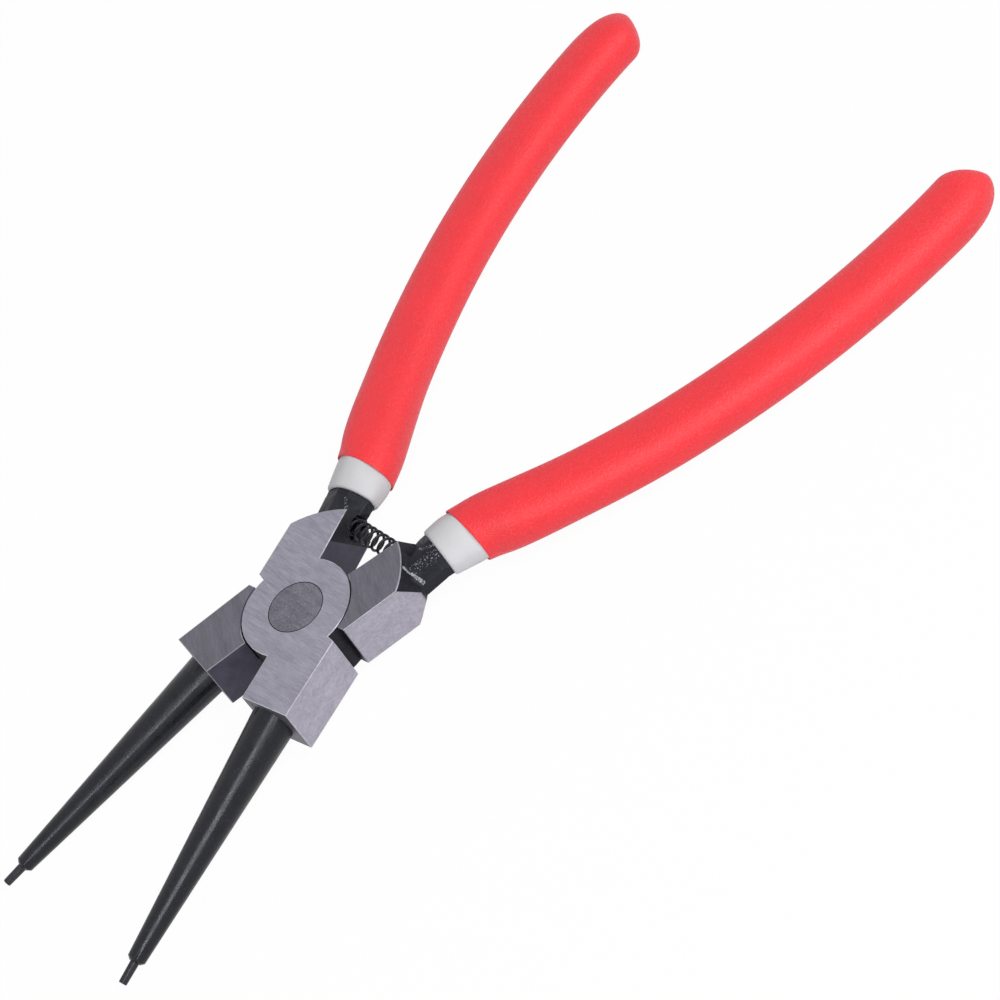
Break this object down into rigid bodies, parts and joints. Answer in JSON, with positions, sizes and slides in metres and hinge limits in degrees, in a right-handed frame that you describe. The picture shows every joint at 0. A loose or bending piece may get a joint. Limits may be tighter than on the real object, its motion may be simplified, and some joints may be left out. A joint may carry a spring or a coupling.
{
  "type": "circlip pliers",
  "caption": "Internal circlip pliers: crossed forged halves on a flush rivet, round tapered jaws with tip pins, return spring and dipped red grips.",
  "frame": {"origin": "on the rivet's axis, at the back face of the head", "axes": "+Z along the rivet's axis towards the front half's plate, +X along the tool towards the handles' ends, +Y towards the front half's handle"},
  "size_m": [0.1752, 0.0916, 0.0117],
  "materials": {
    "forged_steel": "forged, blackened, with ground head faces",
    "rivet_steel": "ground flush with the head",
    "spring_steel": "black spring wire",
    "pin_steel": "hardened dark steel",
    "pale_undercoat": "dipped, satin",
    "red_coat": "dipped, matte"
  },
  "bodies": {
    "front": {"front_half": "forged_steel", "return_spring": "spring_steel", "front_tip_pin": "pin_steel", "front_undercoat": "pale_undercoat", "front_grip": "red_coat"},
    "rear": {"rear_half": "forged_steel", "pivot_rivet": "rivet_steel", "rear_tip_pin": "pin_steel", "rear_undercoat": "pale_undercoat", "rear_grip": "red_coat"}
  },
  "joints": [
    {"name": "pivot", "type": "hinge", "parent": "front", "child": "rear", "pos_m": [0, 0, 0], "axis": [0, 0, 1], "range_deg": [-11, 27], "stiffness_Nm_per_rad": 0.49, "deforming": ["return_spring"]}
  ]
}
